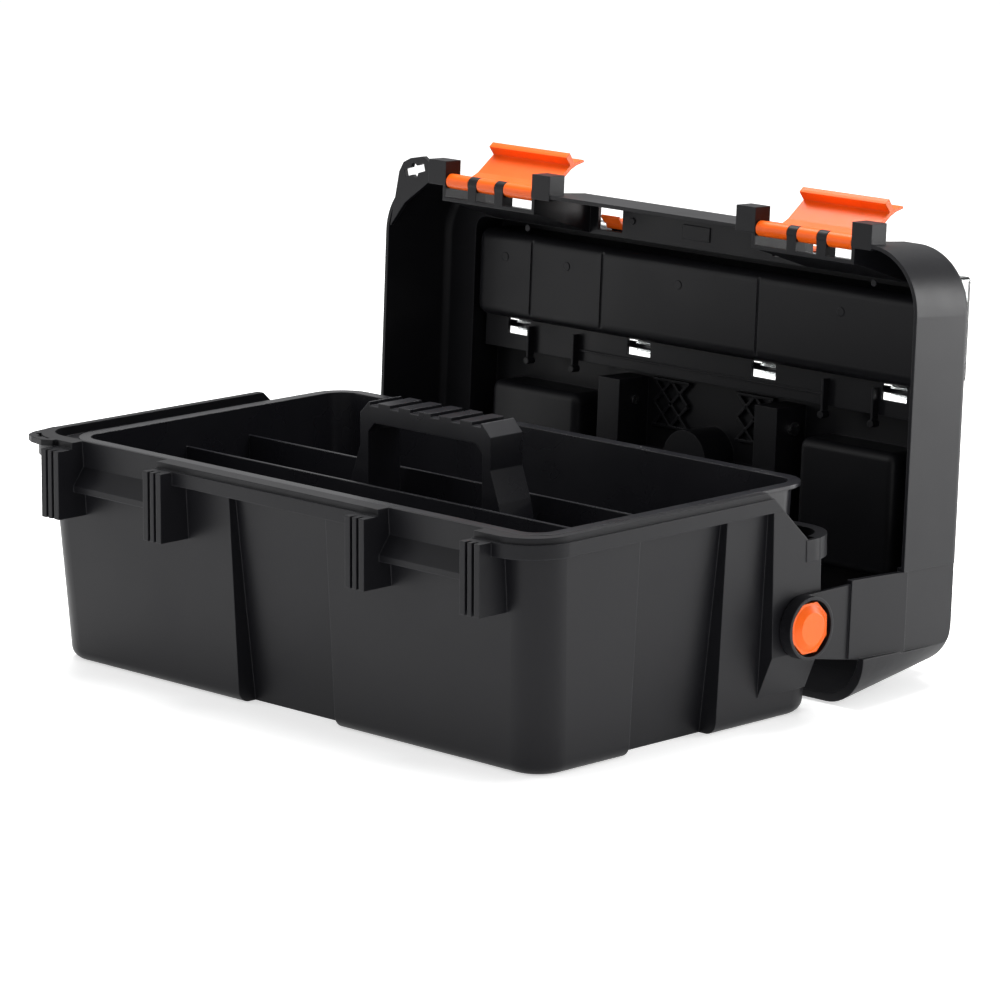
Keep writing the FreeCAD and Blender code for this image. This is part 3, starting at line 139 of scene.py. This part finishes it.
def moulded(name, colour, roughness, grain_mm=0.7, depth_mm=0.022, edge_mm=0.9, rubbed_and_highlit="#4c4d51",
            patch_mm=70, gloss=0.18):
    """Moulded plastic: grain, cloudy flow patches, and rounded edges painted paler, as rubbing and as
    painted highlight.

    Real spark-eroded grain is 0.1 to 0.3 mm across. It is drawn a few times coarser so that it shows.
    """
    material = new_material(name)
    where = add(material, "ShaderNodeTexCoord").outputs["Object"]
    grain = add(material, "ShaderNodeTexNoise", {
        "Vector": where, "Scale": 1000 / grain_mm, "Detail": 2.0, "Roughness": 0.55})
    patches = add(material, "ShaderNodeTexNoise", {
        "Vector": where, "Scale": 1000 / patch_mm, "Detail": 3.0, "Roughness": 0.6, "Distortion": 0.4})
    # a noise that breaks the paler edges up into patches
    edge_breakup = add(material, "ShaderNodeTexNoise", {
        "Vector": where, "Scale": 1000 / EDGE_BREAKUP_MM, "Detail": 4.0, "Roughness": 0.7})
    rounding = add(material, "ShaderNodeBevel", {"Radius": edge_mm / 1000}, samples=4)
    facing = add(material, "ShaderNodeNewGeometry").outputs["Normal"]
    bend = add(material, "ShaderNodeVectorMath", {
        0: rounding.outputs["Normal"], 1: facing}, operation="DOT_PRODUCT")
    # mask of the rounded edges, where the surface bends away from its flat face
    edge = add(material, "ShaderNodeMapRange", {
        "Value": bend.outputs["Value"], "From Min": 0.99, "From Max": 0.82, "To Min": 0.0, "To Max": 0.55})
    worn_and_highlit = add(material, "ShaderNodeMath", {
        0: edge.outputs["Result"], 1: edge_breakup.outputs["Fac"]}, operation="MULTIPLY")
    base = from_hex(colour)
    cloudy = add(material, "ShaderNodeMix", {
        "Factor": patches.outputs["Fac"], "A": [c * 0.84 for c in base[:3]] + [1],
        "B": [c * 1.18 for c in base[:3]] + [1],
    }, data_type="RGBA")
    # the edges painted paler: partly rubbing, partly a painted highlight where the rounded edges catch the
    # light
    paled = add(material, "ShaderNodeMix", {
        "Factor": worn_and_highlit.outputs["Value"], "A": cloudy.outputs["Result"], "B": from_hex(rubbed_and_highlit),
    }, data_type="RGBA")
    rough = add(material, "ShaderNodeMapRange", {
        "Value": patches.outputs["Fac"], "From Min": 0.3, "From Max": 0.7, "To Min": roughness - 0.035,
        "To Max": roughness + 0.045})
    bump = add(material, "ShaderNodeBump", {
        "Height": grain.outputs["Fac"], "Distance": depth_mm / 1000, "Strength": 0.75,
        "Normal": rounding.outputs["Normal"]})
    finish_with(material, add(material, "ShaderNodeBsdfPrincipled", {
        "Base Color": paled.outputs["Result"], "Roughness": rough.outputs["Result"],
        "IOR": IOR_POLYPROPYLENE,
        "Specular IOR Level": gloss, "Normal": bump.outputs["Normal"]}))
    return material


def dress(material, *nodes):
    """Give carried-over sub-parts their finish."""
    for node in nodes:
        for slot in frame["nodes"][node].material_slots:
            slot.material = material


# black polypropylene off a spark-eroded tool: a dull satin that spreads each highlight wide
black_grained = moulded("polypropylene_black_spark_eroded", "#141417", 0.42)
dress(black_grained, "base_tub")

# The pivot pins: two plugs in orange polypropylene, pushed through the lid's arms into the tub. Their
# eight-sided domed heads come from a polished part of the tool, so they are smoother than the black.

# orange polypropylene off a polished tool: a smooth even colour with a soft, narrower highlight
orange_satin = moulded(
    "polypropylene_orange_polished", "#f5610d", 0.34, grain_mm=1.1, depth_mm=0.012, edge_mm=0.7,
    # a paler orange painted along the edges: rubbing and a painted highlight
    rubbed_and_highlit="#ff9450", patch_mm=24, gloss=0.26,
)
dress(orange_satin, "pivot_pin_left", "pivot_pin_right")

# The lift-out tray: a thinner black polypropylene moulding with two dividers and an arched handle. It has
# a smoother, glossier surface than the tub, because its tool was stoned and not eroded.

# black polypropylene off a stoned tool: tighter reflections than the satin outside
tray_smooth = moulded(
    "polypropylene_black_stoned", "#1b1b1f", 0.28, grain_mm=1.3, depth_mm=0.01,
    # a paler grey painted along the edges: rubbing and a painted highlight
    rubbed_and_highlit="#4a4b50", gloss=0.42,
)
dress(tray_smooth, "lift_out_tray")

# The lid: a black polypropylene moulding, hollow underneath, with bins that dip from a raised deck. Its
# underside shows what a moulding has inside: ribs that stiffen thin panels, ejector marks and a raised pad.
lid_hinge = next(j for j in frame["record"]["behaviour"]["joints"] if j["name"] == "lid_hinge")
pivot = Matrix.Translation(lid_hinge["pos_m"])
opened = pivot @ Matrix.Rotation(-math.radians(lid_hinge["range_deg"][1]), 4, "X") @ pivot.inverted()
dress(black_grained, "lid_shell")

SHARPER_THAN = math.radians(40)


def bar(piece, middle, size, turn=0.0):
    """A square bar in a piece, drawn on the closed lid in millimetres and turned about the vertical."""
    place = Matrix.Translation(Vector(middle) / 1000) @ Matrix.Rotation(math.radians(turn), 4, "Z")
    bmesh.ops.create_cube(piece, size=1, matrix=place @ Matrix.Diagonal([v / 1000 for v in size] + [1]))


def disc(piece, middle, radius, height):
    """An upright round peg or mark in a piece, drawn on the closed lid in millimetres."""
    place = Matrix.Translation(Vector(middle) / 1000)
    bmesh.ops.create_cone(piece, cap_ends=True, segments=28, radius1=radius / 1000, radius2=radius / 1000,
                          depth=height / 1000, matrix=place)


def rest_on_lid(name, piece, rounding_mm=0.35):
    """Soften a piece's edges, turn it to where the open lid is and hang it on the lid."""
    sharp = [edge for edge in piece.edges if edge.calc_face_angle(0) > SHARPER_THAN]
    bmesh.ops.bevel(piece, geom=sharp, offset=rounding_mm / 1000, segments=2, profile=0.5,
                    affect="EDGES", material=-1)
    bmesh.ops.transform(piece, matrix=opened, verts=piece.verts)
    mesh = bpy.data.meshes.new(name)
    piece.to_mesh(mesh)
    piece.free()
    item = bpy.data.objects.new(name, mesh)
    item.data.materials.append(black_grained)
    bpy.context.collection.objects.link(item)
    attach(item, "lid")


# undersides of the closed lid's deck, hinge gutter, shoulder and front bin, in millimetres above the floor
DECK_UNDER, GUTTER_UNDER, SHOULDER_UNDER, BIN_UNDER = 235.4, 218.5, 209.4, 206.0
RIB_WIDTH, RIB_HEIGHT = 2.2, 3.6
for side, name in ((-1, "left"), (1, "right")):
    # crossed ribs under the thin panel beside the finger scoop, between two straight ones
    ribs = bmesh.new()
    rib_middle = DECK_UNDER - 1.4
    for across in (31, 47):
        for depth in (-4, 12):
            for turn in (45, -45):
                bar(ribs, (side * across, depth, rib_middle), (21, RIB_WIDTH, RIB_HEIGHT), turn)
    for depth in (-12, 20):
        bar(ribs, (side * 39, depth, rib_middle), (34, RIB_WIDTH, RIB_HEIGHT))
    rest_on_lid(f"deck_ribs_{name}", ribs)

    # upright ribs under the hinge gutter, each with a peg where it was pushed out of the tool
    ribs = bmesh.new()
    for across in (116, 160):
        bar(ribs, (side * across, -23, GUTTER_UNDER - 2.6), (1.8, 26, 6))
        disc(ribs, (side * across, -12, GUTTER_UNDER - 3.2), 2.6, 7)
    rest_on_lid(f"gutter_ribs_{name}", ribs)

# two low ridges along the gutter
ridges = bmesh.new()
for depth in (-41.5, -25):
    bar(ridges, (0, depth, GUTTER_UNDER - 0.5), (228, 1.4, 1.6))
rest_on_lid("gutter_ridges", ridges)

# round marks of the pins that pushed the moulding out of its tool
marks = bmesh.new()
for place in ((-160, -106), (-60, -122), (60, -122), (160, -106)):
    disc(marks, (*place, SHOULDER_UNDER - 0.3), 2.4, 1.0)
for across in (-178, -118, -12, 135):
    disc(marks, (across, -84, BIN_UNDER - 0.1), 3.2, 0.6)
rest_on_lid("ejector_marks", marks, rounding_mm=0.15)

# a blank raised pad in the middle of the shoulder
pad = bmesh.new()
bar(pad, (0, -120.5, SHOULDER_UNDER - 0.3), (25, 10, 1.0))
rest_on_lid("raised_pad", pad, rounding_mm=0.3)

# The hinge rods: thin round black polypropylene rods, held in seats along the gutters, that the clear
# covers' hooks turn on. They are as smooth as the tray, so they share its finish.
dress(tray_smooth, "hinge_rod_front", "hinge_rod_left", "hinge_rod_right")

# The carry handle: a thick black polypropylene moulding that folds back flush into its recess in the lid.
# It comes from the same kind of spark-eroded tool as the tub, so it has the tub's satin grain.
dress(black_grained, "carry_handle")

# The handle's pins: turned mild steel, plated bright, through the blocks beside the handle and its arms.
# The lathe leaves rings a fraction of a millimetre apart, drawn here twice as coarse so that they show.
RING_MM, RING_DEEP_MM = 0.4, 0.02

# bright plated steel: a clear metal reflection, blurred a little across the rings
steel_turned = new_material("steel_turned_bright")
around = add(steel_turned, "ShaderNodeMapping", {
    "Vector": add(steel_turned, "ShaderNodeTexCoord").outputs["Object"], "Scale": (1000 / RING_MM, 60, 60)})
rings = add(steel_turned, "ShaderNodeTexNoise", {
    "Vector": around.outputs["Vector"], "Scale": 1.0, "Detail": 2.0})
ring_rough = add(steel_turned, "ShaderNodeMapRange", {
    "Value": rings.outputs["Fac"], "From Min": 0.3, "From Max": 0.7, "To Min": 0.18, "To Max": 0.36})
ring_bump = add(steel_turned, "ShaderNodeBump", {
    "Height": rings.outputs["Fac"], "Distance": RING_DEEP_MM / 1000, "Strength": 0.6})
finish_with(steel_turned, add(steel_turned, "ShaderNodeBsdfPrincipled", {
    "Base Color": from_hex("#c9cacc"), "Metallic": 1.0, "Roughness": ring_rough.outputs["Result"],
    "Normal": ring_bump.outputs["Normal"]}))
dress(steel_turned, "handle_pin_left", "handle_pin_right")

# The covers: three clear polycarbonate mouldings from a polished tool, hooked on the rods. They close the
# bins on top of the lid, and the front one has ears for its two clasps.
WAVE_MM, WAVE_DEEP_MM, SCUFF_MM, CLEAR_EDGE_MM, IOR_POLYCARBONATE = 18, 0.12, 2.5, 0.6, 1.585

# clear polycarbonate: glass-like, with faint waves where it flowed and fine scuffs that dull the gloss
clear_polished = new_material("polycarbonate_clear_polished")
clear_where = add(clear_polished, "ShaderNodeTexCoord").outputs["Object"]
waves = add(clear_polished, "ShaderNodeTexNoise", {
    "Vector": clear_where, "Scale": 1000 / WAVE_MM, "Detail": 1.5})
scuffs = add(clear_polished, "ShaderNodeTexNoise", {
    "Vector": clear_where, "Scale": 1000 / SCUFF_MM, "Detail": 4.0})
clear_rough = add(clear_polished, "ShaderNodeMapRange", {
    "Value": scuffs.outputs["Fac"], "From Min": 0.45, "From Max": 0.75, "To Min": 0.03, "To Max": 0.12})
clear_edge = add(clear_polished, "ShaderNodeBevel", {"Radius": CLEAR_EDGE_MM / 1000}, samples=4)
clear_bump = add(clear_polished, "ShaderNodeBump", {
    "Height": waves.outputs["Fac"], "Distance": WAVE_DEEP_MM / 1000, "Strength": 0.35,
    "Normal": clear_edge.outputs["Normal"]})
finish_with(clear_polished, add(clear_polished, "ShaderNodeBsdfPrincipled", {
    "Base Color": from_hex("#f4f8f8"), "Roughness": clear_rough.outputs["Result"],
    "IOR": IOR_POLYCARBONATE, "Transmission Weight": 1.0, "Normal": clear_bump.outputs["Normal"]}))
dress(clear_polished, "front_bin_cover", "rear_bin_cover_left", "rear_bin_cover_right")

# The clasps: two small orange polypropylene mouldings that turn between ears on the clear front cover and
# drop into slots in the lid's shoulder. They share the pivot pins' polished finish.
dress(orange_satin, "cover_clasp_left", "cover_clasp_right")

# The latches: two orange polypropylene mouldings, each a hooked plate on a barrel that turns between ears
# on the lid's rim. The hook catches a lip on the tub. They share the pivot pins' polished finish.
dress(orange_satin, "latch_left", "latch_right")
